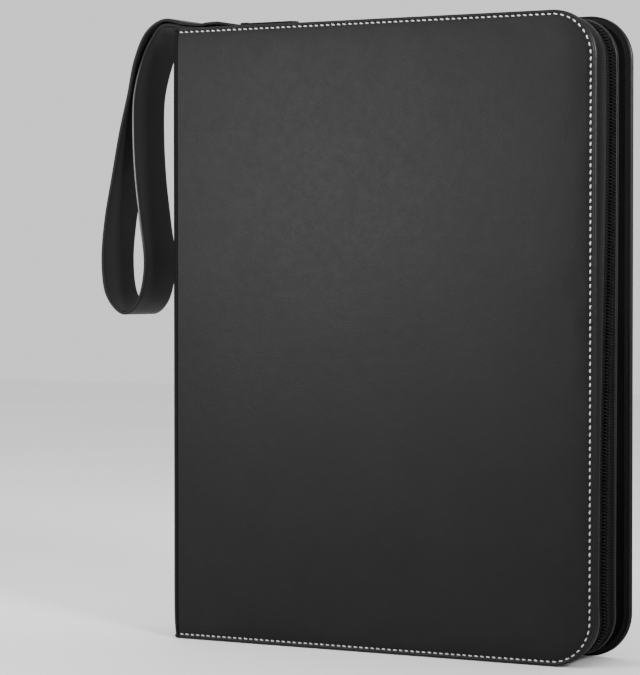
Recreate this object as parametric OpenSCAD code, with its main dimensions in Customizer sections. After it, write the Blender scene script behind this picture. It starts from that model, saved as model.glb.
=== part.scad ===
// Zip-around trading card binder, standing upright and closed.
// X runs from the spine to the fore-edge, the front cover faces -Y, and Z is up.
// Every length is in millimetres.

/* [Case] */
// Width of a cover, from the spine's outer face to the fore-edge
case_w = 256; // [246:1:266]
// Height of the case
case_h = 336; // [330:1:350]
// Thickness of the closed case over both covers
case_d = 50; // [48:1:56]
// Radius of the two fore-edge corners of each cover
corner_r = 24; // [12:1:32]
// Thickness of the outer leather skin
skin_t = 0.9; // [0.8:0.1:1.0]
// Thickness of the foam under the skin
foam_t = 1.2; // [1.0:0.1:1.4]
// Thickness of the stiffening board
board_t = 2.0; // [1.8:0.1:2.2]
// Thickness of the inner cloth lining
lining_t = 0.5; // [0.4:0.1:0.6]
// Width of the folded skin between the spine and each cover
fold_r = 5.1; // [5.0:0.1:5.4]
// Distance of the row of stitches from the cover's edge
stitch_inset = 3.2; // [2.5:0.1:4.0]

/* [Zip] */
// Distance of the zip and its side bands inside the cover's edge
recess = 3; // [2.6:0.1:3.4]
// Thickness of the side band and of the zip tape
band_t = 1.0; // [0.8:0.1:1.2]
// Place of the zip's centre line across the thickness
seam_y = 0; // [-2:0.5:2]
// Clear gap between the two rows of the zip coil
seam_gap = 1.6; // [1.6:0.1:2.0]
// Width of each zip tape beside its coil
tape_w = 4.5; // [4:0.5:5]
// Width of each row of the zip coil
coil_w = 2.4; // [2.0:0.1:2.8]
// Thickness of the zip coil
coil_t = 2.0; // [1.8:0.1:2.2]
// Length of the zip slider's body
slider_len = 18; // [14:1:20]
// Length of the slider's pull
pull_len = 34; // [24:1:36]

/* [Ring mechanism] */
// Distance between neighbouring rings (four and a quarter inches)
ring_pitch = 107.95; // [107.95:0.01:107.95]
// Radius of the ring's circle at the middle of the wire
ring_r = 14.5; // [14:0.5:15]
// Radius of the ring wire
wire_r = 1.4; // [1.2:0.1:1.5]
// Distance of the ring's centre from the spine's outer face
ring_x = 19; // [19:0.5:20]
// Length of the mechanism's housing
housing_len = 264; // [250:2:270]
// Half of the housing's width
housing_half = 11; // [11:0.5:12]

/* [Pages] */
// Pages on each side of the rings
leaves_per_side = 8; // [8:1:8]
// Thickness of one page with its empty pockets
leaf_t = 0.45; // [0.3:0.05:0.45]
// Distance from one page to the next
leaf_pitch = 0.75; // [0.7:0.01:0.75]
// Width of a page
leaf_w = 223; // [215:1:223]
// Height of a page
leaf_h = 292; // [285:1:295]
// Radius of a punched hole
hole_r = 4; // [4:0.1:4.2]

/* [Strap] */
// Width of the strap
strap_w = 31; // [25:1:32]
// Thickness of one layer of the strap
strap_t = 2; // [1.6:0.1:2.0]

/* [Hidden] */
$fn = 64;

// the strap reaches this far out from the spine, and the origin is midway between strap and fore-edge
strap_reach = 53;
spine_x = -(case_w - strap_reach) / 2;
fore_x = spine_x + case_w;
mid_z = case_h / 2;

// the stack of a cover, from its outer face inwards
cover_t = skin_t + foam_t + board_t + lining_t;
rim_t = 1.6;
fit_gap = 0.1;
cover_x = spine_x + fold_r;
spine_half = case_d / 2 - fold_r;
lining_y = case_d / 2 - cover_t;
stitch_w = 0.8;
stitch_h = 0.2;

// the zip's bands: where each strip of the front (-1) and back (1) half ends
band_x = spine_x + 12;
function coil_edge(side) = seam_y + side * seam_gap / 2;
function tape_edge(side) = coil_edge(side) + side * coil_w;
function band_edge(side) = tape_edge(side) + side * tape_w;
coil_recess = recess - (coil_t - band_t) / 2;

// the zip's end tabs lie just outside the coil
tab_t = 0.7;
tab_gap = 0.4;
tab_len = 24;
tab_top_z = case_h - coil_recess + tab_gap;
tab_bottom_z = coil_recess - tab_gap - tab_t;
stub_len = 46;
stub_w = 2 * (coil_w + tape_w);

// the slider and its pull
slider_x = spine_x + 34;
slider_w = 11;
slider_plate = 1.8;
web_t = 1.0;
slider_top_z = tab_top_z + tab_t + 0.3;
slider_low_z = case_h - coil_recess - coil_t - 0.5;
pull_pin_r = 0.85;
pull_bore_r = 0.9;
pull_pin_x = slider_x - 1;
pull_pin_z = slider_top_z + slider_plate + 1.5;
pull_w = 8;
pull_t = 1.8;

// the ring mechanism, measured from the spine's lining
ring_cx = spine_x + ring_x;
plate_t = 0.6;
plate_x = spine_x + cover_t;
housing_rise = 5.4;
housing_t = 0.8;
housing_r = (housing_half * housing_half + housing_rise * housing_rise) / (2 * housing_rise);
housing_cx = plate_x + plate_t + housing_rise - housing_r;
toggle_x = spine_x + 6.5;
toggle_y = 8;
toggle_t = 0.8;
toggle_len = 246;
toggle_tilt = 4;
rivet_r = 2;
rivet_z = [mid_z - 54, mid_z + 54];
ring_z = [mid_z + ring_pitch, mid_z, mid_z - ring_pitch];
ring_foot = 152;
lever_x = spine_x + 7.2;
lever_z = housing_len / 2 + 1;
lever_w = 30;

// the pages hang on the rings
leaf_x = spine_x + 26.5;
leaf_first_y = 0.4;
hole_out = 1.2;
function leaf_y(i) = leaf_first_y + (i - 1) * leaf_pitch;
function wire_x(y) = ring_cx + sqrt(ring_r * ring_r - y * y);

// the strap: the middle line of its loop, as [distance from the spine, height]
strap_pivot = [spine_x + 12, case_h + 1.5];
strap_line = [[12, 338.5], [0, 341.2], [-12, 341.5], [-23, 334], [-30, 320], [-34.5, 301], [-40, 280],
    [-45, 256], [-50, 231], [-52, 208], [-49, 189], [-38, 179], [-27.5, 187], [-23.4, 207], [-26.5, 231],
    [-29.6, 255], [-31, 280], [-30.3, 301], [-27.5, 319], [-20.8, 332], [-11, 339.5], [0, 339.2], [12, 336.5]];
strap_steps = 4;
// the two layers part between these two points of the line
strap_open = [4, 18];

// ---- helpers ----

// a flat outline in X and Z, made solid from y0 to y1
module upright(y0, y1) {
    translate([0, max(y0, y1), 0])
        rotate([90, 0, 0])
            linear_extrude(abs(y1 - y0))
                children();
}

// a cover's outline: square at the spine, round at the two fore-edge corners
module cover_outline(inset = 0, x0 = cover_x) {
    r = corner_r - inset;
    x1 = fore_x - inset;
    translate([x0, inset])
        square([x1 - r - x0, case_h - 2 * inset]);
    translate([x0, inset + r])
        square([x1 - x0, case_h - 2 * inset - 2 * r]);
    for (z = [inset + r, case_h - inset - r])
        translate([x1 - r, z])
            circle(r);
}

// a strip of width t that follows the cover's three free edges
module edge_strip(inset, t, x0) {
    difference() {
        cover_outline(inset, x0);
        cover_outline(inset + t, x0 - 5);
    }
}

module skin(side) {
    outer = side * case_d / 2;
    inner = side * (lining_y + lining_t);
    difference() {
        upright(inner, outer)
            cover_outline();
        upright(inner - side, outer - side * skin_t)
            cover_outline(rim_t, cover_x + rim_t);
    }
}

module foam(side) {
    y = case_d / 2 - skin_t;
    upright(side * (y - foam_t), side * y)
        cover_outline(rim_t + fit_gap, cover_x + rim_t + fit_gap);
}

module board(side) {
    y = lining_y + lining_t;
    upright(side * y, side * (y + board_t))
        cover_outline(rim_t + fit_gap, cover_x + rim_t + fit_gap);
}

module lining(side) {
    upright(side * lining_y, side * (lining_y + lining_t))
        cover_outline(0.6, cover_x + 0.4);
}

module stitching(side) {
    upright(side * case_d / 2, side * (case_d / 2 + stitch_h))
        edge_strip(stitch_inset, stitch_w, cover_x + 3);
}

module gusset(side) {
    upright(band_edge(side), side * lining_y)
        edge_strip(recess, band_t, band_x);
}

module zip_tape(side) {
    upright(tape_edge(side), band_edge(side))
        edge_strip(recess, band_t, band_x);
}

module zip_coil(side) {
    upright(coil_edge(side), tape_edge(side))
        edge_strip(coil_recess, coil_t, band_x);
}

// the skin folded round the corner between the spine and a cover, short of the cover's edge
module hinge_strip(side) {
    fold_cx = spine_x + fold_r;
    linear_extrude(case_h)
        intersection() {
            difference() {
                translate([fold_cx, side * spine_half])
                    circle(fold_r);
                translate([fold_cx, side * spine_half])
                    circle(fold_r - skin_t);
            }
            translate([fold_cx, side * spine_half])
                polygon([[0, 0], [-2 * fold_r, 0], [-2 * fold_r, side * 2 * fold_r],
                    [-fold_r * 0.5, side * 2 * fold_r]]);
        }
}

// one end of the zip, sewn across the spine
module zip_end(z, len) {
    translate([spine_x + skin_t, -strap_w / 2, z])
        cube([len, strap_w, tab_t]);
}

// half of one ring: an arc of wire from its tip to the toggle plate
module ring_half(side, z) {
    difference() {
        translate([ring_cx, 0, z])
            rotate([0, 0, side < 0 ? -ring_foot : 0])
                rotate_extrude(angle = ring_foot)
                    translate([ring_r, 0])
                        circle(wire_r, $fn = 32);
        toggle_block(side, 2.5);
    }
}

// the toggle plate's own slab, thickened downwards by extra
module toggle_block(side, extra = 0) {
    translate([toggle_x, side * toggle_y, mid_z - toggle_len / 2])
        rotate([0, 0, -side * toggle_tilt])
            translate([-toggle_t / 2 - extra, side < 0 ? -extra / 3 : -toggle_y + 0.3, 0])
                cube([toggle_t + extra, toggle_y - 0.3 + extra / 3, toggle_len]);
}

module toggle_plate(side) {
    difference() {
        toggle_block(side);
        for (z = rivet_z)
            translate([spine_x + 4, 0, z])
                rotate([0, 90, 0])
                    cylinder(r = rivet_r + 1, h = 8);
    }
}

// a lever at one end of the housing: a narrow tongue and neck, and a wide thumb plate beyond the
// pages; end is 1 at the top and -1 at the bottom
module release_lever(end) {
    translate([lever_x, 0, mid_z + end * lever_z])
        mirror([0, 0, end < 0 ? 1 : 0]) {
            translate([-0.6, -4, -3.5])
                cube([1.2, 8, 3.5]);
            lever_slab(9, [[-0.6, 0], [0.6, 0], [3.2, 14.2], [2, 14.2]]);
            lever_slab(lever_w, [[2, 14.2], [3.2, 14.2], [5.2, 20], [7.6, 24.4], [6.5, 25], [4.1, 20.6]]);
        }
}

module lever_slab(w, outline) {
    translate([0, w / 2, 0])
        rotate([90, 0, 0])
            linear_extrude(w)
                polygon(outline);
}

// one page: a flat sheet with three punched holes near its inner edge
module leaf(side, i) {
    y = side * leaf_y(i);
    difference() {
        upright(y, y + side * leaf_t)
            leaf_outline();
        for (z = ring_z)
            translate([wire_x(leaf_y(i)) + hole_out, 0, z])
                rotate([90, 0, 0])
                    cylinder(r = hole_r, h = 20, center = true);
    }
}

module leaf_outline() {
    r = 4;
    translate([leaf_x + r, mid_z - leaf_h / 2])
        square([leaf_w - 2 * r, leaf_h]);
    translate([leaf_x, mid_z - leaf_h / 2 + r])
        square([leaf_w, leaf_h - 2 * r]);
    for (x = [leaf_x + r, leaf_x + leaf_w - r], z = [mid_z - leaf_h / 2 + r, mid_z + leaf_h / 2 - r])
        translate([x, z])
            circle(r, $fn = 32);
}

// a point on the smooth curve through p[i] and p[i + 1]
function curve_point(p, i, t) =
    let (a = p[max(i - 1, 0)], b = p[i], c = p[i + 1], d = p[min(i + 2, len(p) - 1)])
    0.5 * (2 * b + (c - a) * t + (2 * a - 5 * b + 4 * c - d) * t * t + (3 * b - a - 3 * c + d) * t * t * t);
function curve(p, n) = concat([for (i = [0:len(p) - 2], k = [0:n - 1]) curve_point(p, i, k / n)],
    [p[len(p) - 1]]);
// the curve moved sideways by w
function beside(c, w) = [for (i = [0:len(c) - 1])
    let (d = c[min(i + 1, len(c) - 1)] - c[max(i - 1, 0)])
    c[i] + w * [-d[1], d[0]] / norm(d)];
function reversed(c) = [for (i = [len(c) - 1:-1:0]) c[i]];

// ---- spine ----

module spine_skin() color([0.09, 0.09, 0.1]) {
    translate([spine_x, -spine_half, 0])
        cube([skin_t, 2 * spine_half, case_h]);
    for (z = [0, case_h - rim_t / 2])
        translate([spine_x + skin_t, -spine_half, z])
            cube([cover_t - skin_t, 2 * spine_half, rim_t / 2]);
}

module spine_foam() color([0.3, 0.3, 0.3])
    translate([spine_x + skin_t, -spine_half, 2 * rim_t])
        cube([foam_t, 2 * spine_half, case_h - 5 * rim_t]);

module spine_board() color([0.55, 0.5, 0.42])
    difference() {
        translate([spine_x + skin_t + foam_t, -spine_half, 2 * rim_t])
            cube([board_t, 2 * spine_half, case_h - 5 * rim_t]);
        rivet_holes();
    }

module spine_lining() color([0.12, 0.12, 0.13])
    difference() {
        translate([spine_x + cover_t - lining_t, -spine_half, 2 * rim_t])
            cube([lining_t, 2 * spine_half, case_h - 5 * rim_t]);
        rivet_holes();
    }

module front_hinge_strip() color([0.07, 0.07, 0.08]) hinge_strip(-1);
module back_hinge_strip() color([0.07, 0.07, 0.08]) hinge_strip(1);

// the top end keeps a short stub of closed tape, split down the middle for the slider
module zip_end_top() color([0.05, 0.05, 0.05])
    difference() {
        union() {
            zip_end(tab_top_z, tab_len);
            translate([spine_x + skin_t, seam_y - stub_w / 2, tab_top_z])
                cube([stub_len, stub_w, tab_t]);
        }
        translate([slider_x - slider_len / 2 - 1, seam_y - seam_gap / 2, tab_top_z - 1])
            cube([stub_len, seam_gap, tab_t + 2]);
    }

module zip_end_bottom() color([0.05, 0.05, 0.05])
    zip_end(tab_bottom_z, tab_len);

module strap_anchor() color([0.08, 0.08, 0.08])
    translate([strap_pivot[0] + strap_t + 0.6, -strap_w / 2, tab_top_z + tab_t])
        cube([7, strap_w, 1.6 * strap_t]);

// ---- ring mechanism ----

module rivet_holes(r = rivet_r) {
    for (z = rivet_z)
        translate([spine_x, 0, z])
            rotate([0, 90, 0])
                cylinder(r = r, h = 20);
}

module ring_base_plate() color([0.45, 0.45, 0.47])
    difference() {
        translate([plate_x, -housing_half, mid_z - housing_len / 2])
            cube([plate_t, 2 * housing_half, housing_len]);
        rivet_holes();
    }

module ring_housing() color([0.5, 0.5, 0.52])
    difference() {
        translate([0, 0, mid_z - housing_len / 2])
            linear_extrude(housing_len)
                intersection() {
                    difference() {
                        translate([housing_cx, 0])
                            circle(housing_r, $fn = 96);
                        translate([housing_cx, 0])
                            circle(housing_r - housing_t, $fn = 96);
                    }
                    translate([plate_x + plate_t, -2 * housing_half])
                        square([housing_rise + 2, 4 * housing_half]);
                }
        for (z = ring_z, side = [-1, 1])
            translate([plate_x + plate_t + 0.6, side < 0 ? -housing_half - 1 : 4.5, z - wire_r - 0.6])
                cube([housing_rise + 2, housing_half - 3.5, 2 * wire_r + 1.2]);
        rivet_holes();
    }

module ring_rivets() color([0.75, 0.75, 0.77])
    for (z = rivet_z) {
        top = plate_x + plate_t + housing_rise;
        translate([spine_x + skin_t + foam_t, 0, z])
            rotate([0, 90, 0])
                cylinder(r = rivet_r, h = top - spine_x - skin_t - foam_t);
        translate([top, 0, z])
            rotate([0, 90, 0])
                cylinder(r = 2 * rivet_r, h = 1);
    }

module toggle_plate_front() color([0.4, 0.4, 0.42]) toggle_plate(-1);
module toggle_plate_back() color([0.4, 0.4, 0.42]) toggle_plate(1);
module ring_top_front() color([0.8, 0.8, 0.82]) ring_half(-1, ring_z[0]);
module ring_middle_front() color([0.8, 0.8, 0.82]) ring_half(-1, ring_z[1]);
module ring_bottom_front() color([0.8, 0.8, 0.82]) ring_half(-1, ring_z[2]);
module ring_top_back() color([0.8, 0.8, 0.82]) ring_half(1, ring_z[0]);
module ring_middle_back() color([0.8, 0.8, 0.82]) ring_half(1, ring_z[1]);
module ring_bottom_back() color([0.8, 0.8, 0.82]) ring_half(1, ring_z[2]);
module release_lever_top() color([0.5, 0.5, 0.52]) release_lever(1);
module release_lever_bottom() color([0.5, 0.5, 0.52]) release_lever(-1);

// ---- covers ----

module front_skin() color([0.09, 0.09, 0.1]) skin(-1);
module front_foam() color([0.3, 0.3, 0.3]) foam(-1);
module front_board() color([0.55, 0.5, 0.42]) board(-1);
module front_lining() color([0.12, 0.12, 0.13]) lining(-1);
module front_stitching() color([0.7, 0.7, 0.7]) stitching(-1);
module front_gusset() color([0.06, 0.06, 0.07]) gusset(-1);
module front_zip_tape() color([0.05, 0.05, 0.05]) zip_tape(-1);
module front_zip_coil() color([0.08, 0.08, 0.08]) zip_coil(-1);
module back_skin() color([0.09, 0.09, 0.1]) skin(1);
module back_foam() color([0.3, 0.3, 0.3]) foam(1);
module back_board() color([0.55, 0.5, 0.42]) board(1);
module back_lining() color([0.12, 0.12, 0.13]) lining(1);
module back_stitching() color([0.7, 0.7, 0.7]) stitching(1);
module back_gusset() color([0.06, 0.06, 0.07]) gusset(1);
module back_zip_tape() color([0.05, 0.05, 0.05]) zip_tape(1);
module back_zip_coil() color([0.08, 0.08, 0.08]) zip_coil(1);

// ---- zip slider and pull ----

// two plates joined by a web between the rows, and a lug for the pull's pin
module zip_slider() color([0.1, 0.1, 0.1])
    difference() {
        union() {
            for (z = [slider_low_z - slider_plate, slider_top_z])
                translate([slider_x - slider_len / 2, seam_y - slider_w / 2, z])
                    cube([slider_len, slider_w, slider_plate]);
            translate([slider_x + slider_len / 2 - 6, seam_y - web_t / 2, slider_low_z])
                cube([5, web_t, slider_top_z - slider_low_z]);
            translate([pull_pin_x - 2, seam_y - 1.2, slider_top_z + slider_plate])
                cube([4, 2.4, 3]);
        }
        translate([pull_pin_x, seam_y, pull_pin_z])
            rotate([90, 0, 0])
                cylinder(r = pull_bore_r, h = 6, center = true);
    }

// a fork on a pin, and a long tongue with a round end
module zip_pull() color([0.08, 0.08, 0.08]) {
    low_z = pull_pin_z - pull_t / 2;
    for (side = [-1, 1]) {
        translate([pull_pin_x, seam_y + side * 2.5, low_z])
            translate([0, -1, 0])
                cube([6, 2, pull_t]);
        translate([pull_pin_x, seam_y + side * 2.5, pull_pin_z])
            rotate([90, 0, 0])
                cylinder(r = pull_t / 2, h = 2, center = true);
    }
    translate([pull_pin_x, seam_y, pull_pin_z])
        rotate([90, 0, 0])
            cylinder(r = pull_pin_r, h = 4, center = true);
    difference() {
        union() {
            translate([pull_pin_x + 4, seam_y - pull_w / 2, low_z])
                cube([pull_len - 4 - pull_w / 2, pull_w, pull_t]);
            translate([pull_pin_x + pull_len - pull_w / 2, seam_y, low_z])
                cylinder(r = pull_w / 2, h = pull_t);
        }
        translate([pull_pin_x + pull_len - pull_w / 2, seam_y, low_z - 1])
            cylinder(r = pull_w / 4, h = pull_t + 2);
    }
}

// ---- wrist strap ----

// one band that runs down the outer side of its loop and back up the inner side
module wrist_strap() color([0.08, 0.08, 0.08]) {
    line = curve(strap_line, strap_steps);
    inner = beside(line, strap_t / 2);
    upright(-strap_w / 2, strap_w / 2)
        translate([spine_x, 0])
            difference() {
                polygon(beside(line, -strap_t / 2));
                polygon([for (i = [strap_open[0] * strap_steps:strap_open[1] * strap_steps]) inner[i]]);
            }
    translate([strap_pivot[0], 0, strap_pivot[1]])
        rotate([90, 0, 0])
            cylinder(r = strap_t, h = strap_w, center = true);
}

// ---- pages ----

module page_leaf(side, i) color([0.86, 0.88, 0.88, 0.5]) leaf(side, i);

spine_skin();
spine_foam();
spine_board();
spine_lining();
front_hinge_strip();
back_hinge_strip();
zip_end_top();
zip_end_bottom();
strap_anchor();
ring_base_plate();
ring_housing();
ring_rivets();
front_skin();
front_foam();
front_board();
front_lining();
front_stitching();
front_gusset();
front_zip_tape();
front_zip_coil();
back_skin();
back_foam();
back_board();
back_lining();
back_stitching();
back_gusset();
back_zip_tape();
back_zip_coil();
toggle_plate_front();
ring_top_front();
ring_middle_front();
ring_bottom_front();
toggle_plate_back();
ring_top_back();
ring_middle_back();
ring_bottom_back();
release_lever_top();
release_lever_bottom();
zip_slider();
zip_pull();
wrist_strap();
page_leaf(-1, 1);  // front_leaf_1
page_leaf(-1, 2);  // front_leaf_2
page_leaf(-1, 3);  // front_leaf_3
page_leaf(-1, 4);  // front_leaf_4
page_leaf(-1, 5);  // front_leaf_5
page_leaf(-1, 6);  // front_leaf_6
page_leaf(-1, 7);  // front_leaf_7
page_leaf(-1, 8);  // front_leaf_8
page_leaf(1, 1);  // back_leaf_1
page_leaf(1, 2);  // back_leaf_2
page_leaf(1, 3);  // back_leaf_3
page_leaf(1, 4);  // back_leaf_4
page_leaf(1, 5);  // back_leaf_5
page_leaf(1, 6);  // back_leaf_6
page_leaf(1, 7);  // back_leaf_7
page_leaf(1, 8);  // back_leaf_8
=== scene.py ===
# Zip-around trading card binder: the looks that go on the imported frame.
# X runs from the spine to the fore-edge, the front cover faces -Y, Z is up, lengths are in metres.
import math

import bmesh
import bpy
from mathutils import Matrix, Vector, noise


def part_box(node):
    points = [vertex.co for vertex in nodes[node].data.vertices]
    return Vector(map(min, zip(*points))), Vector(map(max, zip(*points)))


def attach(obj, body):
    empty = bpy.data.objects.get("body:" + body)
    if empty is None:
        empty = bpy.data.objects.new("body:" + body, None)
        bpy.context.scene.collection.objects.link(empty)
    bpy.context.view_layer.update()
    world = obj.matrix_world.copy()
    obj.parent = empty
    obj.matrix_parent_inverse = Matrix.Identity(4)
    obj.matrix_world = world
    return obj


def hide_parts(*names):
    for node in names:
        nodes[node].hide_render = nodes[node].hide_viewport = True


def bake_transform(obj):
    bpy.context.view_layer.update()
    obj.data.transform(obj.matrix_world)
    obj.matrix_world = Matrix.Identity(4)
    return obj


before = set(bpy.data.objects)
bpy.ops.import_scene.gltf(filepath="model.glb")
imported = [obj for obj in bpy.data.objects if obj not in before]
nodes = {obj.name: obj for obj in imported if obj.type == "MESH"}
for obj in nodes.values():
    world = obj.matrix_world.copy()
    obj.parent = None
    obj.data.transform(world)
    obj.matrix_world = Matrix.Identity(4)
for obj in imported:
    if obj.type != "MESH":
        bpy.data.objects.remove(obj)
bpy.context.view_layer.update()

MM = 0.001
# the two halves, by the sign of their y
FRONT, BACK = -1, 1
SIDE_NAME = {FRONT: "front", BACK: "back"}


# ---- sizes taken from the frame ----

skin_lo, skin_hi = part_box("front_skin")
spine_lo, spine_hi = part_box("spine_skin")
lining_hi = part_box("front_lining")[1]


def y_ends(side, part):
    """Where a piece of one half starts and ends, from the cover towards the zip's seam."""
    lo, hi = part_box(f"{SIDE_NAME[side]}_{part}")
    return (lo[1], hi[1]) if side == FRONT else (hi[1], lo[1])


TAPE_EDGE = {side: y_ends(side, "zip_tape")[0] for side in (FRONT, BACK)}
COIL_EDGE = {side: y_ends(side, "zip_coil")[0] for side in (FRONT, BACK)}
COIL_TIP = {side: y_ends(side, "zip_coil")[1] for side in (FRONT, BACK)}

# where the spine, the covers and the fore-edge start and end, and the case's height and half thickness
SPINE_X = spine_lo[0]
COVER_X = skin_lo[0]
FORE_X = skin_hi[0]
CASE_H = skin_hi[2]
HALF_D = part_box("back_skin")[1][1]
COVER_T = HALF_D + lining_hi[1]
LINING_Y = -lining_hi[1]
SPINE_HALF = spine_hi[1]
FOLD_R = COVER_X - SPINE_X
CORNER_R = 24 * MM
MID_Z = CASE_H / 2
RECESS = FORE_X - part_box("front_gusset")[1][0]
SEAM_Y = (COIL_TIP[FRONT] + COIL_TIP[BACK]) / 2
STITCH_INSET = 2.2 * MM
THREAD_R = 0.43 * MM
THREAD_DEPTH = 0.74 * MM

# the rings' centre and radius, and their spacing
RING_X = SPINE_X + 19 * MM
RING_R = 14.5 * MM
RING_PITCH = 107.95 * MM


# ---- small helpers for meshes ----

def lerp(a, b, t):
    return a + (b - a) * t


def smoothstep(t):
    t = min(max(t, 0.0), 1.0)
    return t * t * (3 - 2 * t)


def wave_noise(x, y, z, scale, seed):
    """Smooth noise between about -1 and 1 whose waves are scale metres long."""
    return noise.noise(Vector((x / scale + seed, y / scale - seed, z / scale + 2 * seed)))


def add_object(name, data):
    obj = bpy.data.objects.new(name, data)
    bpy.context.collection.objects.link(obj)
    return obj


def new_object(name, verts, faces, uvs=None, smooth=True, weld=0.0):
    """A mesh object with its faces turned outwards; uvs holds one (u, v) pair for each vertex."""
    mesh = bpy.data.meshes.new(name)
    mesh.from_pydata(verts, [], faces)
    mesh.update()
    if uvs:
        layer = mesh.uv_layers.new(name="UVMap")
        for loop in mesh.loops:
            layer.data[loop.index].uv = uvs[loop.vertex_index]
    for poly in mesh.polygons:
        poly.use_smooth = smooth
    bm = bmesh.new()
    bm.from_mesh(mesh)
    if weld:
        bmesh.ops.remove_doubles(bm, verts=bm.verts, dist=weld)
    bmesh.ops.recalc_face_normals(bm, faces=bm.faces)
    bm.to_mesh(mesh)
    bm.free()
    return add_object(name, mesh)


def grid_faces(rows, cols, wrap_cols=False, first=0):
    """Quads over a grid of vertices stored row by row."""
    faces = []
    for i in range(rows - 1):
        for j in range(cols if wrap_cols else cols - 1):
            a = first + i * cols + j
            b = first + i * cols + (j + 1) % cols
            c = first + (i + 1) * cols + (j + 1) % cols
            d = first + (i + 1) * cols + j
            faces.append((a, b, c, d))
    return faces


def rim_faces(rows, cols, first, second):
    """Quads that join the edges of two grids of the same size."""
    rim = (list(range(cols - 1)) + [i * cols + cols - 1 for i in range(rows - 1)]
           + [(rows - 1) * cols + j for j in range(cols - 1, 0, -1)] + [i * cols for i in range(rows - 1, 0, -1)])
    faces = []
    for k, a in enumerate(rim):
        b = rim[(k + 1) % len(rim)]
        faces.append((first + a, first + b, second + b, second + a))
    return faces


def slab_faces(rows, cols, first=0):
    """Two layers of a grid and the rim between them."""
    second = first + rows * cols
    return (grid_faces(rows, cols, first=first) + grid_faces(rows, cols, first=second)
            + rim_faces(rows, cols, first, second))


def tube(points, radius, sides, taper=None):
    """Vertices and faces of a closed tube along points; taper gives a factor for each point."""
    verts, faces = [], []
    count = len(points)
    for i, p in enumerate(points):
        along = (points[min(i + 1, count - 1)] - points[max(i - 1, 0)]).normalized()
        side = along.orthogonal().normalized() if i == 0 else (side - along * side.dot(along)).normalized()
        up = along.cross(side)
        r = radius * (taper[i] if taper else 1)
        for k in range(sides):
            turn = 2 * math.pi * k / sides
            verts.append(p + side * (r * math.cos(turn)) + up * (r * math.sin(turn)))
    faces += grid_faces(count, sides, wrap_cols=True)
    faces.append(tuple(range(sides)))
    faces.append(tuple(range((count - 1) * sides, count * sides)))
    return verts, faces


def merge(parts):
    """One list of vertices and faces from several."""
    verts, faces = [], []
    for v, f in parts:
        base = len(verts)
        verts += v
        faces += [tuple(i + base for i in face) for face in f]
    return verts, faces


# ---- the path round the three free sides of a cover ----

class EdgePath:
    """The U that runs from the spine along the bottom, up the fore-edge and back along the top, at a distance
    inside the cover's edge. A place on it is a part (0 to 4) and a share t of that part."""

    def __init__(self, inset, x0=COVER_X):
        self.x0 = x0
        self.x1 = FORE_X - inset
        self.z0 = inset
        self.z1 = CASE_H - inset
        self.r = min(max(CORNER_R - inset, 0.4 * MM), (self.z1 - self.z0) / 2)
        leg = self.x1 - self.r - self.x0
        side = max(self.z1 - self.z0 - 2 * self.r, 0.0)
        arc = math.pi / 2 * self.r
        self.lengths = [leg, arc, side, arc, leg]
        self.total = sum(self.lengths)

    def place(self, part, t):
        """x, z, and the outward direction at that place."""
        r = self.r
        if part == 0:
            return lerp(self.x0, self.x1 - r, t), self.z0, 0.0, -1.0
        if part == 2:
            return self.x1, lerp(self.z0 + r, self.z1 - r, t), 1.0, 0.0
        if part == 4:
            return lerp(self.x1 - r, self.x0, t), self.z1, 0.0, 1.0
        turn = -math.pi / 2 * (1 - t) if part == 1 else math.pi / 2 * t
        cz = self.z0 + r if part == 1 else self.z1 - r
        c, s = math.cos(turn), math.sin(turn)
        return self.x1 - r + r * c, cz + r * s, c, s

    def at(self, s):
        """The same at a distance s along the path."""
        for part, length in enumerate(self.lengths):
            if s <= length or part == 4:
                return self.place(part, min(max(s / length, 0.0), 1.0) if length > 0 else 0.0)
            s -= length


# stitches along the bottom and the top, round each corner, and up the fore-edge
LEG_STITCHES = 66
ARC_STITCHES = 9
SIDE_STITCHES = 80
STITCH_COUNTS = [LEG_STITCHES, ARC_STITCHES, SIDE_STITCHES, ARC_STITCHES, LEG_STITCHES]


def path_samples(per_stitch):
    """Places (part, t, phase of the stitch) along the path, the same for every inset."""
    places = []
    for part, count in enumerate(STITCH_COUNTS):
        steps = count * per_stitch
        for k in range(steps):
            places.append((part, k / steps, k % per_stitch / per_stitch))
    places.append((4, 1.0, 0.0))
    return places


# ---- materials ----

def grey(value):
    return value, value, value


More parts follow.
